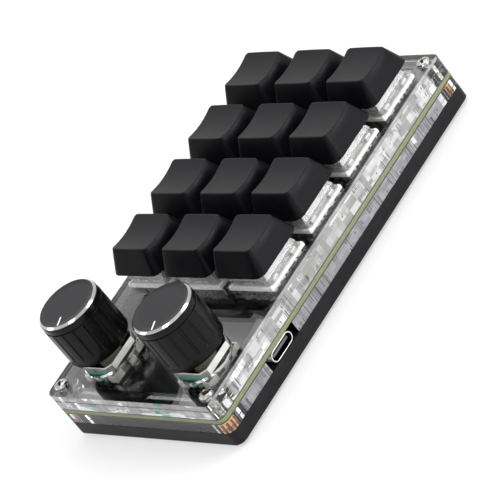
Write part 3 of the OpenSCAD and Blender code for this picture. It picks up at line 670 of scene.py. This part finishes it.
def repeated(name, pattern, places, material, size=1.0):
    """Copies of a pattern at the places, joined to one plain mesh by a Geometry Nodes tree."""
    tree = bpy.data.node_groups.new(name + "_tree", "GeometryNodeTree")
    for label, way, kind in (
        ("Places", "INPUT", "Geometry"),
        ("Pattern", "INPUT", "Object"),
        ("Size", "INPUT", "Float"),
        ("Finish", "INPUT", "Material"),
        ("Geometry", "OUTPUT", "Geometry"),
    ):
        tree.interface.new_socket(label, in_out=way, socket_type="NodeSocket" + kind)
    inputs = tree.nodes.new("NodeGroupInput")
    outputs = tree.nodes.new("NodeGroupOutput")
    source = tree.nodes.new("GeometryNodeObjectInfo")
    points = tree.nodes.new("GeometryNodeMeshToPoints")
    instance = tree.nodes.new("GeometryNodeInstanceOnPoints")
    realize = tree.nodes.new("GeometryNodeRealizeInstances")
    finish = tree.nodes.new("GeometryNodeSetMaterial")
    for start, end in (
        (inputs.outputs["Places"], points.inputs["Mesh"]),
        (points.outputs["Points"], instance.inputs["Points"]),
        (inputs.outputs["Pattern"], source.inputs["Object"]),
        (source.outputs["Geometry"], instance.inputs["Instance"]),
        (inputs.outputs["Size"], instance.inputs["Scale"]),
        (instance.outputs["Instances"], realize.inputs["Geometry"]),
        (realize.outputs["Geometry"], finish.inputs["Geometry"]),
        (inputs.outputs["Finish"], finish.inputs["Material"]),
        (finish.outputs["Geometry"], outputs.inputs["Geometry"]),
    ):
        tree.links.new(start, end)

    mesh = bpy.data.meshes.new(name + "_places")
    mesh.from_pydata([tuple(c * MM for c in place) for place in places], [], [])
    carrier = new_object(name + "_places", mesh)
    modifier = carrier.modifiers.new("Repeat", "NODES")
    modifier.node_group = tree
    keys = {s.name: s.identifier for s in tree.interface.items_tree if s.in_out == "INPUT"}
    modifier[keys["Pattern"]] = pattern
    modifier[keys["Size"]] = size
    modifier[keys["Finish"]] = material
    bpy.context.view_layer.update()
    evaluated = carrier.evaluated_get(bpy.context.evaluated_depsgraph_get())
    made = new_object(name, bpy.data.meshes.new_from_object(evaluated))
    made.data.name = name
    bpy.data.objects.remove(carrier)
    bpy.data.objects.remove(pattern)
    return made


# Keycaps

CAP_DISH = 0.85
CAP_FILLET = 0.24
CAP_WALL = 1.15
CAP_HOLLOW = 5.35
CAP_X = (-9.05, 9.05)
CAP_TOP_X = (-5.7, 7.3)
CAP_Y = 9.05
CAP_TOP_Y = 6.0
CAP_TALL = CAP_HIGH.z - CAP_LOW.z
CAP_TOP = CAP_HIGH.z - 0.03
CAP_FOOT_INSET = 0.12
CAP_BULGE = 0.1


def round_outline(x0, x1, half_y, radius, arc=8, straight=6):
    """Points round a rectangle with round corners, anticlockwise, from its +X -Y corner."""
    corners = (
        (x1 - radius, -half_y + radius, -90),
        (x1 - radius, half_y - radius, 0),
        (x0 + radius, half_y - radius, 90),
        (x0 + radius, -half_y + radius, 180),
    )
    points = []
    for index, (cx, cy, start) in enumerate(corners):
        for step in range(arc + 1):
            x, y = polar(radius, math.radians(start + 90 * step / arc))
            points.append((cx + x, cy + y))
        last = points[-1]
        cx, cy, start = corners[(index + 1) % 4]
        x, y = polar(radius, math.radians(start))
        following = (cx + x, cy + y)
        for step in range(1, straight):
            share = step / straight
            points.append(tuple(a + (b - a) * share for a, b in zip(last, following)))
    return points


def cap_level(share, inset=0.0, least=0.3, bulge=0.0):
    """Outline of a cap at a share of its height, drawn in by the inset, its sides bulging."""
    x0 = CAP_X[0] + (CAP_TOP_X[0] - CAP_X[0]) * share + inset
    x1 = CAP_X[1] + (CAP_TOP_X[1] - CAP_X[1]) * share - inset
    half_y = CAP_Y + (CAP_TOP_Y - CAP_Y) * share - inset
    radius = max(least, 2.8 - 1.8 * share - inset)
    points = []
    for x, y in round_outline(x0, x1, half_y, radius):
        across = (2 * x - x0 - x1) / (x1 - x0)
        along = y / half_y
        x += bulge * across * (1 - along * along)
        y += bulge * along * (1 - across * across)
        points.append((x, y))
    return points


def dish(y):
    """Height of the dished top at a distance from its middle line."""
    return CAP_TOP - CAP_DISH * (1 - min(1.0, (y / CAP_TOP_Y) ** 2))


def cross_socket(shells, at):
    """Four quarters of the round boss under a cap, with the cross slot between them."""
    arm, half_thick, boss = 2.07, 0.645, 2.7
    levels = (CAP_LOW.z + 0.95, CAP_LOW.z + CAP_HOLLOW + 0.3)
    first = math.asin(half_thick / boss)
    outline = [(half_thick, half_thick), (arm, half_thick)]
    outline += [polar(boss, first + (math.pi / 2 - 2 * first) * step / 8) for step in range(9)]
    outline.append((half_thick, arm))
    for quarter in range(4):
        shells.add(*straight_body(outline, math.radians(90 * quarter), levels), 0, at)


def keycap(key):
    """Dished, tapered cap with narrow rounded edges, hollow below, with a cross socket."""
    rings = []
    for share in (0, 0.016, 0.2, 0.4, 0.6, 0.8):
        level = cap_level(share, 0 if share else CAP_FOOT_INSET, bulge=CAP_BULGE * share)
        rings.append([(x, y, CAP_LOW.z + CAP_TALL * share) for x, y in level])
    for step in range(6):
        angle = math.radians(90 * step / 5)
        inset = CAP_FILLET * (1 - math.cos(angle))
        drop = CAP_FILLET * (1 - math.sin(angle))
        level = cap_level(1 - drop / CAP_TALL, inset, bulge=CAP_BULGE)
        rings.append([(x, y, dish(y) - drop) for x, y in level])
    rim = rings[-1]
    mid_x = sum(p[0] for p in rim) / len(rim)
    for share in (0.95, 0.85, 0.7, 0.5, 0.3, 0.12):
        scaled = [(mid_x + (x - mid_x) * share, y * share) for x, y, _ in rim]
        rings.append([(x, y, dish(y)) for x, y in scaled])
    points, faces = lofted(rings, close_first=False)
    points[-1] = (mid_x, 0, dish(0))
    inner = []
    for share in (0, 0.02, CAP_HOLLOW / CAP_TALL):
        level = cap_level(share, CAP_WALL if share else CAP_WALL - CAP_FOOT_INSET, least=1.0)
        inner.append([(x, y, CAP_LOW.z + CAP_TALL * share) for x, y in level])
    inner_points, inner_faces = lofted(inner, close_first=False)
    base, count = len(points), len(rim)
    points += inner_points
    faces += [tuple(base + i for i in reversed(face)) for face in inner_faces]
    faces += [(i, base + i, base + (i + 1) % count, (i + 1) % count) for i in range(count)]
    at = (*KEYS[key], 0)
    shells = Shells()
    shells.add(points, faces, 0, at)
    cross_socket(shells, at)
    made = shells.piece("Keycap_" + key, [CAP_BLACK], 50)
    # The walls take the shaded copy and the right sides the lit one.
    steep = 0.62
    refinish(made, SKIRT_SHADED_BLACK, lambda middle, normal: normal.z < steep)
    refinish(made, SIDE_LIT_BLACK, lambda middle, normal: normal.x > 0.7 and abs(normal.z) < steep)
    ride_for(made, "key_" + key, "cap_black", "keycap_" + key)


for key in KEYS:
    keycap(key)


# Knobs

FLUTES = 18
FLUTE_OFFSETS = (0, 0.5, 1, 1.4, 1.8, 2.15, 2.5, 3.4, 6, 8)
SKIRT = 8.85
BAND = 8.7
KNOB_TALL = KNOB_HIGH.z - KNOB_LOW.z
KNOB_STEP = KNOB_TALL - 2.5
FOOT_ROUND = 1.2
FLUTE_DEPTH = 0.3
MARK_ANGLE = math.radians(-72)


def flute_cut(degrees):
    """Depth of a round flute at an angle from its middle, as a share of its full depth."""
    half_width = 2.2
    return math.sqrt(max(0.0, 1 - (degrees / half_width) ** 2))


def knob(side):
    """Fluted knob with a rounded foot, a step, a bright bevel and a sunk flat face."""
    pitch = 360 / FLUTES
    offsets = [-d for d in reversed(FLUTE_OFFSETS[1:])] + list(FLUTE_OFFSETS) + [pitch / 2]
    turns = [
        (math.radians((i + 0.5) * pitch + d), flute_cut(d)) for i in range(FLUTES) for d in offsets
    ]
    black = [(5.6, 3.7, 0), (5.6, 0.3, 0), (5.7, 0.22, 0), (SKIRT - 1.5, 0.2, 0)]
    for step in range(7):
        angle = math.radians(15 * step)
        radius = SKIRT - FOOT_ROUND + FOOT_ROUND * math.sin(angle)
        black.append((radius, FOOT_ROUND - math.cos(angle), 0))
    black += [
        (SKIRT, 3.1, 0), (SKIRT, 3.22, 0.12), (SKIRT, 3.4, 0.26), (SKIRT, 3.6, FLUTE_DEPTH),
        (SKIRT, 8.0, FLUTE_DEPTH), (SKIRT, KNOB_STEP - 0.6, FLUTE_DEPTH),
        (SKIRT, KNOB_STEP - 0.4, 0.22), (SKIRT, KNOB_STEP - 0.28, 0), (SKIRT, KNOB_STEP - 0.2, 0),
        (SKIRT - 0.03, KNOB_STEP - 0.12, 0), (BAND - 0.12, KNOB_STEP - 0.04, 0),
        (BAND - 0.12, KNOB_STEP + 0.12, 0), (BAND, KNOB_STEP + 0.2, 0),
        (BAND, KNOB_TALL - 0.86, 0), (BAND - 0.02, KNOB_TALL - 0.74, 0),
        (BAND - 0.14, KNOB_TALL - 0.58, 0),
    ]
    bright = [(BAND - 0.64, KNOB_TALL - 0.06, 0), (BAND - 0.7, KNOB_TALL - 0.02, 0)]
    face = [(BAND - 0.78, KNOB_TALL - 0.05, 0)]
    face += [(radius, KNOB_TALL - 0.09, 0) for radius in (BAND - 0.84, 6.0, 3.0)]
    rings, finishes = [], []
    for finish, levels in enumerate((black, bright, face)):
        for radius, height, depth in levels:
            rings.append([polar(radius - depth * cut, angle, height) for angle, cut in turns])
            finishes += [finish] * len(turns)
    # The first level starts no band, and the fans that close both ends follow the bands
    finishes = finishes[len(turns) :] + [0] * len(turns) + [2] * len(turns)
    shells = Shells()
    shells.add(*lofted(rings), finishes, (*KNOBS[side], KNOB_LOW.z))
    made = shells.piece(f"Knob_{side}", [KNOB_BLACK, KNOB_BRIGHT, KNOB_FACE], 40)
    ride_for(made, f"{side}_dial", "knob_black", f"{side}_knob")


def indicator(side):
    """White line with round ends near the rim of a knob's face."""
    outer, inner, half_width = 7.42, 4.9, 0.22
    outline = []
    for centre, start in ((outer, -90), (inner, 90)):
        for step in range(9):
            x, y = polar(half_width, math.radians(start + 22.5 * step))
            outline.append((centre + x, y))
    levels = (KNOB_TALL - 0.15, KNOB_TALL - 0.05)
    shells = Shells()
    shells.add(*straight_body(outline, MARK_ANGLE, levels), 0, (*KNOBS[side], KNOB_LOW.z))
    line = shells.piece(f"Indicator_{side}", [MARK_WHITE])
    ride_for(line, f"{side}_dial", "white_plastic")


for side in SIDES:
    knob(side)
    indicator(side)


# Case layers and fixings

KEY_FIELD_X = 28
KEY_FIELD_Y = (-36, 54)
END_WALL_X = 15
END_WALL_Y = 50


def near_corners(inset_x, inset_y):
    """Four places drawn in from the corners of the case."""
    return [(sx * (CASE_X - inset_x), sy * (CASE_Y - inset_y)) for sx, sy in CORNERS]


SCREWS = near_corners(3.6, 3.5)
SCREW_LOW = span("case_screws")[0].z


def cut_out(middle, normal):
    """Whether a face belongs to the wall of a switch's cut-out."""
    level = max(abs(normal.x), abs(normal.y)) > 0.99
    return level and abs(middle.x) < KEY_FIELD_X and KEY_FIELD_Y[0] < middle.y < KEY_FIELD_Y[1]


def left_wall(middle, normal):
    """Whether a face of a frame looks into the case on its left."""
    return abs(middle.x + FRAME_X) < 0.5 and normal.x > 0.9


def end_wall(middle, normal):
    """Whether a face of a frame looks into the case at one of its ends."""
    inside = abs(middle.x) < END_WALL_X and END_WALL_Y < abs(middle.y) < END_FROM
    return inside and abs(normal.y) > 0.9


def board():
    """Circuit board with a dark joint line round its top and bottom."""
    layer = layer_of("circuit_board", BOARD_LAMINATE, 0.01)
    chamfer(layer, 0.22, JOINT_LINE, (BOARD_BOTTOM, BOARD_TOP))
    ride_for(layer, "case", "board", "circuit_board")


def clear_layer(node, levels, side, ends, shrink=0.0):
    """Clear layer of the case with joint lines at the levels and a finish for each kind of cut."""
    plate = node == "top_plate"
    layer = layer_of(node, CLEAR_ACRYLIC, shrink)
    refinish(layer, side, lambda middle, normal: middle.x > SIDE_FROM and normal.x > 0.95)
    refinish(layer, LEFT_CUT, lambda middle, normal: middle.x < -SIDE_FROM and normal.x < -0.95)
    refinish(layer, ends, lambda middle, normal: abs(middle.y) > END_FROM and abs(normal.y) > 0.95)
    if plate:
        # The switch cut-outs take the painted teeth of dark reflection and glints.
        refinish(layer, JAGGED, cut_out)
    else:
        refinish(layer, CONTACT, lambda middle, normal: normal.z < -0.9)
    if node == "upper_frame":
        refinish(layer, SEAT, lambda middle, normal: normal.z > 0.9)
    chamfer(layer, 0.14, JOINT_LINE, levels)
    if plate:
        soften(layer, 0.1)
    refinish(layer, CAST_CLEAR, end_wall)
    refinish(layer, CAST_GREY, left_wall)
    ride_for(layer, "case", "clear_case", node)


def rubber_feet():
    """Four round feet with a rounded rim and a shallow hollow below."""
    shells = Shells()
    profile = [(1.2, 0.12), (2.6, 0.1), (3.0, 0), (3.4, 0), (3.68, 0.1), (3.8, 0.35), (3.8, 1.2)]
    for x, y in near_corners(7.0, 7.5):
        shells.lathe(profile, 40, (x, y, 0))
    ride_for(shells.piece("Feet", [RUBBER]), "case", "rubber", "rubber_feet")


def spacers():
    """Brass threaded spacers with a knurled body and smooth ends."""
    shells = Shells()
    teeth, knurl_depth = 28, 0.16
    low = BASE_TOP - 2.2
    tall = BOARD_BOTTOM - 0.01 - low
    levels = (
        (1.0, 0.02, 0), (2.0, 0.02, 0), (2.15, 0.15, 0), (2.15, 0.6, 0), (2.25, 0.7, 1),
        (2.25, 4.6, 1), (2.15, 4.7, 0), (2.15, tall - 0.12, 0), (2.05, tall, 0), (1.0, tall, 0),
    )
    rings = []
    for radius, height, knurl in levels:
        ring = []
        for i in range(teeth * 2):
            cut = knurl_depth * knurl * (i % 2)
            ring.append(polar(radius - cut, math.pi * i / teeth, low + height))
        rings.append(ring)
    points, faces = lofted(rings)
    # Every other knurl valley takes the painted shade.
    finishes = []
    for below, above in zip(levels, levels[1:]):
        knurled = below[2] * above[2]
        finishes += [knurled * (i % 4 < 2) for i in range(teeth * 2)]
    finishes += [0] * (len(faces) - len(finishes))
    for x, y in SCREWS:
        shells.add(points, faces, finishes, (x, y, 0))
    ride_for(shells.piece("Spacers", [BRASS, BRASS_VALLEY_SHADE], 20), "case", "brass", "spacers")


def cross_depth(x, y):
    """Depth of the cross recess in a screw's head, its arms turned by 45 degrees."""
    diagonal = 0.7071
    turned = ((x + y) * diagonal, (y - x) * diagonal)
    deep = 0.0
    for u, v in (turned, turned[::-1]):
        along = 1 - max(0.0, (abs(u) - 0.85) / 0.3)
        across = 1 - max(0.0, (abs(v) - 0.2) / 0.1)
        deep = max(deep, min(1.0, along) * min(1.0, max(0.0, across)))
    return 0.85 * max(0.0, deep)


def screw_head():
    """Points, faces and finishes of a domed head, its cross recess in painted shade."""
    steps, radius, brim, dome = 72, 1.95, 0.5, 0.78
    profile = ((1.1, 0), (radius - 0.08, 0), (radius, 0.08), (radius, brim))
    rings = [circle(*level, steps) for level in profile]
    for share in (0.985, 0.95, 0.88, 0.8, 0.7, 0.62, 0.54, 0.46, 0.38, 0.3, 0.22, 0.15, 0.09, 0.04):
        ring = []
        top = brim + dome * math.sqrt(1 - share**2.6)
        for i in range(steps):
            x, y = polar(radius * share, 2 * math.pi * (i + 0.5) / steps)
            ring.append((x, y, top - cross_depth(x, y)))
        rings.append(ring)
    points, faces = lofted(rings)
    # The faces down in the cross take the painted shade.
    deep = {i for i, (x, y, z) in enumerate(points) if z > 0.1 and cross_depth(x, y) > 0.3}
    finishes = [int(len(deep.intersection(face)) > 1) for face in faces]
    return points, faces, finishes


def case_screws():
    """Pan-head screws: domed heads with a cross recess, threaded shanks."""
    pitch, root, crest = 0.4, 0.76, 0.94
    shank = [(0.5, SCREW_LOW), (0.7, SCREW_LOW + 0.02)]
    for i in range(int((PLATE_TOP - SCREW_LOW - 0.4) / pitch)):
        z = SCREW_LOW + 0.2 + i * pitch
        shank += [(root, z), (crest, z + pitch * 0.45), (crest, z + pitch * 0.55)]
    shank += [(0.8, PLATE_TOP - 0.1), (0.8, PLATE_TOP + 0.1)]
    head = screw_head()
    shells = Shells()
    for x, y in SCREWS:
        shells.add(*head, (x, y, PLATE_TOP))
        shells.lathe(shank, 20, (x, y, 0))
    ride_for(shells.piece("Case_screws", [NICKEL, RECESS_SHADE], 32), "case", "nickel", "case_screws")


ride_for(copy_of("base_plate", BASE_BLACK, 0.25, 3), "case", "black_base", "base_plate")
board()
clear_layer("lower_frame", (BASE_TOP, BOARD_BOTTOM), LOWER_CUT, END_CUT, shrink=0.02)
clear_layer("upper_frame", (BOARD_TOP, PLATE_BOTTOM), UPPER_CUT, END_FROST_REFLECTIONS, shrink=0.02)
clear_layer("top_plate", (PLATE_BOTTOM,), UPPER_CUT, END_FROST_REFLECTIONS)
rubber_feet()
spacers()
case_screws()


# Socket and board parts

TONGUE_LOW, TONGUE_HIGH = span("usb_tongue")
SOCKET_Y = (TONGUE_LOW.y + TONGUE_HIGH.y) / 2
SOCKET_Z = (TONGUE_LOW.z + TONGUE_HIGH.z) / 2


def inside_shell(middle, normal):
    """Whether a face of the socket's shell looks towards its own middle line."""
    side = (middle.y - SOCKET_Y) * normal.y + (middle.z - SOCKET_Z) * normal.z
    return side < 0 and abs(normal.x) < 0.9


def socket_shell():
    """Bright shell of the USB-C socket, its inside in painted shade."""
    shell = copy_of("usb_shell", SHEET_STEEL, 0.05)
    refinish(shell, SHELL_INSIDE_SHADE, inside_shell)
    ride_for(shell, "case", "steel", "usb_shell")


def socket_contacts():
    """Gold strips on both faces of the tongue."""
    count, pitch, mouth, half_tongue = 12, 0.5, 28.2, 0.36
    strip = Shells()
    strip.box((-1.5, 1.5), (-0.12, 0.12), (-0.02, 0.02))
    rows = [SOCKET_Y + pitch * (i - (count - 1) / 2) for i in range(count)]
    places = [(mouth, y, SOCKET_Z + s * half_tongue) for y in rows for s in (-1, 1)]
    made = repeated("Socket_contacts", strip.piece("Strip", []), places, GOLD)
    ride_for(made, "case", "copper")


socket_shell()
for node, slot, material, width in (
    ("usb_tongue", "black_plastic", TONGUE_GREY, 0.08),
    ("board_parts", "black_plastic", CHIP_BLACK, 0.08),
    ("hot_swap_sockets", "black_plastic", SOCKET_BLACK, 0.12),
    ("key_lights", "light", LAMP_LENS, 0.06),
    ("switch_contacts", "copper", COPPER, 0.04),
):
    ride_for(copy_of(node, material, width), "case", slot, node)
socket_contacts()


# Switches

SPRING_TURNS = 5
WIRE = 0.18


def housings():
    """Milky flanges over bodies in painted shade, with painted teeth of dark reflection and glints
    where the frame's cut shows.
    """
    made = copy_of("switch_bases", MILKY_HOUSING, 0.12)
    below = PLATE_TOP - 0.05
    # The bodies below the plate take the painted shade, and their right sides the painted teeth.
    refinish(made, BODY_SHADE, lambda middle, normal: middle.z < below)
    refinish(made, PAINTED_TEETH, lambda middle, normal: middle.z < below - 0.05 and normal.x > 0.9)
    ride_for(made, "case", "switch_clear", "switch_bases")


def switch_clips():
    """Retaining clips at the sides and corners of every upper housing."""
    side, corner, apart, half_long = (7.0, 7.5), (6.9, 7.75), 4.4, 1.1
    clips = Shells()
    for sx, sy in CORNERS:
        y = sy * apart
        levels = (FLANGE_TOP - 0.1, FLANGE_TOP + 1.1)
        clips.box(sorted(sx * x for x in side), (y - half_long, y + half_long), levels)
        x, y = (sorted(sign * place for place in corner) for sign in (sx, sy))
        clips.box(x, y, (FLANGE_TOP - 0.2, FLANGE_TOP + 0.35))
    places = [(x, y, 0) for x, y in KEYS.values()]
    made = repeated("Switch_clips", clips.piece("Clips", []), places, MILKY_HOUSING)
    ride_for(soften(made, 0.22), "case", "switch_clear")


def spring(key):
    """Wound spring standing on the housing's floor under a key."""
    rings, sides, radius = 24, 10, 2.3
    tall = SPRING_HIGH.z - SPRING_LOW.z
    skin = []
    for i in range(SPRING_TURNS * rings + 1):
        t = 2 * math.pi * i / rings
        middle_z = SPRING_LOW.z + WIRE + (tall - 2 * WIRE) * i / (SPRING_TURNS * rings)
        ring = []
        for j in range(sides):
            out, up = polar(WIRE, -2 * math.pi * j / sides)
            ring.append(polar(radius + out, t, middle_z + up))
        skin.append(ring)
    shells = Shells()
    shells.add(*lofted(skin), 0, (*KEYS[key], 0))
    made = shells.piece("Spring_" + key, [SPRING_STEEL], 60)
    ride_for(made, "case", "spring_wire", "spring_" + key)
    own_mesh(made)


housings()
ride_for(copy_of("switch_covers", CLEAR_HOUSING, 0.14), "case", "switch_clear", "switch_covers")
switch_clips()
for key in KEYS:
    spring(key)
    ride_for(copy_of("stem_" + key, STEM_WHITE, 0.06), "key_" + key, "white_plastic", "stem_" + key)


# Encoders

LEAD_FROM = 6.25

bases = copy_of("encoder_bases", ENCODER_PLASTIC, 0.12)
refinish(bases, TINNED, lambda middle, normal: abs(middle.y - KNOB_Y) > LEAD_FROM)
ride_for(bases, "case", "green_plastic", "encoder_bases")
covers = copy_of("encoder_covers", COVER_STEEL, 0.05)
refinish(covers, COVER_TOP_STEEL, lambda middle, normal: middle.z > RIM_Z and normal.z > 0.7)
ride_for(covers, "case", "steel", "encoder_covers")
for side in SIDES:
    pin, shaft = f"{side}_push_pin", f"{side}_shaft"
    ride_for(copy_of(pin, PIN_WHITE, 0.15), f"{side}_push", "white_plastic", pin)
    ride_for(copy_of(shaft, SHAFT_STEEL, 0.15), f"{side}_dial", "steel", shaft)


# Camera, floor and light


def camera():
    """Camera at the photograph's place and angle."""
    lens = bpy.data.cameras.new("Camera")
    lens.lens = 240.63
    right = Vector((0.67909, 0.49520, -0.54186))
    up = Vector((-0.01244, 0.74584, 0.66601))
    back = Vector((0.73395, -0.44554, 0.51265))
    turned = Matrix((right, up, back)).transposed().to_4x4()
    holder = new_object("Camera", lens)
    holder.matrix_world = Matrix.Translation((0.621455, -0.380705, 0.44374)) @ turned
    bpy.context.scene.camera = holder


def floor():
    """Pale floor that glows a little for the camera, so that its shadow stays light."""
    ground = bpy.data.meshes.new("Floor")
    ground.from_pydata([(-6, -6, 0), (6, -6, 0), (6, 6, 0), (-6, 6, 0)], [], [(0, 1, 2, 3)])
    finish = Finish("Floor_white", (0.92, 0.92, 0.92), 0.7, Specular_IOR_Level=0.2)
    glow = finish.node("Emission")
    seen = finish.ramp(finish.node("LightPath").outputs["Is Camera Ray"], 0, 1, 0, 0.5)
    both = finish.node("MixShader")
    finish.link(seen, both.inputs["Fac"])
    finish.link(finish.shader.outputs["BSDF"], both.inputs[1])
    finish.link(glow.outputs["Emission"], both.inputs[2])
    finish.link(both.outputs["Shader"], finish.tree.nodes["Material Output"].inputs["Surface"])
    ground.materials.append(finish.material)
    new_object("Floor", ground)


def surroundings():
    """White studio, a little darker for the rays that neither the camera nor a mirror sends."""
    world = bpy.data.worlds.new("Studio")
    bpy.context.scene.world = world
    world.use_nodes = True
    nodes, links = world.node_tree.nodes, world.node_tree.links
    rays = nodes.new("ShaderNodeLightPath").outputs
    seen = rays["Is Camera Ray"]
    for kind in ("Is Glossy Ray", "Is Transmission Ray"):
        either = nodes.new("ShaderNodeMath")
        either.operation = "MAXIMUM"
        links.new(seen, either.inputs[0])
        links.new(rays[kind], either.inputs[1])
        seen = either.outputs[0]
    level = nodes.new("ShaderNodeMapRange")
    level.inputs["To Min"].default_value = 0.85
    sky = nodes["Background"]
    sky.inputs["Color"].default_value = (1, 1, 1, 1)
    links.new(seen, level.inputs["Value"])
    links.new(level.outputs["Result"], sky.inputs["Strength"])


def lamps():
    """Large soft lamps, all turned to the keypad."""
    for name, place, size, power in (
        ("Key_light", (-0.35, 0.55, 1.1), 1.0, 4),
        ("Side_light", (0.68, 0.58, 0.93), 0.5, 4),
        ("Low_light", (1.2, 0.45, 0.34), 0.6, 8),
        ("Front_light", (0.28, -0.65, 1.07), 0.35, 2),
        ("Left_light", (-0.88, -0.62, 0.54), 0.4, 1.2),
    ):
        lamp = bpy.data.lights.new(name, "AREA")
        lamp.size = size
        lamp.energy = power
        holder = new_object(name, lamp)
        holder.location = place
        aim = Vector((0, 0, 0.01)) - Vector(place)
        holder.rotation_euler = aim.to_track_quat("-Z", "Y").to_euler()


camera()
floor()
surroundings()
lamps()
bpy.context.scene.view_settings.view_transform = "Standard"
